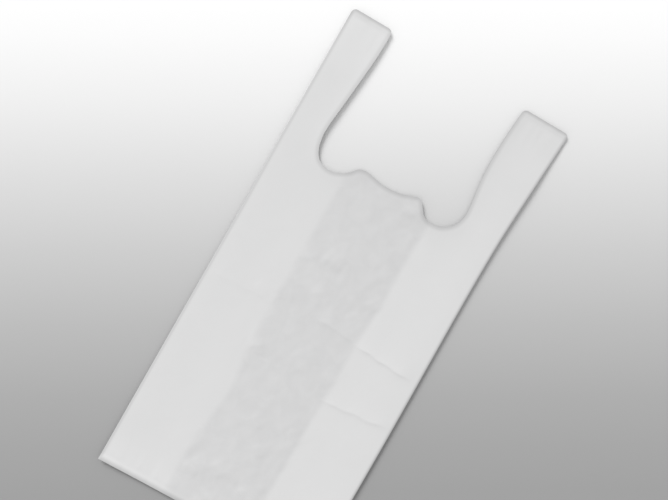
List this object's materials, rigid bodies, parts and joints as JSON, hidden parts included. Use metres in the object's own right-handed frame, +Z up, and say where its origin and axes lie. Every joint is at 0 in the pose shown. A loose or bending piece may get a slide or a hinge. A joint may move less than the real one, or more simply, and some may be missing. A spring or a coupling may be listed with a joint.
{
  "type": "plastic carrier bag",
  "caption": "Flat-folded white vest carrier bag of thin film, with side gussets, a die-cut mouth and loop handles.",
  "frame": {"origin": "under the middle of the flat bag's bounding box, on the surface that it lies on", "axes": "+X across the bag, +Y along it from the bottom weld to the handle tips, +Z up through its layers"},
  "size_m": [0.254, 0.533, 0.0036],
  "materials": {
    "film": "thin milky white film with a soft satin sheen, slightly darker where only two layers lie together"
  },
  "bodies": {
    "root": {"carrier_bag": "film"}
  },
  "joints": []
}
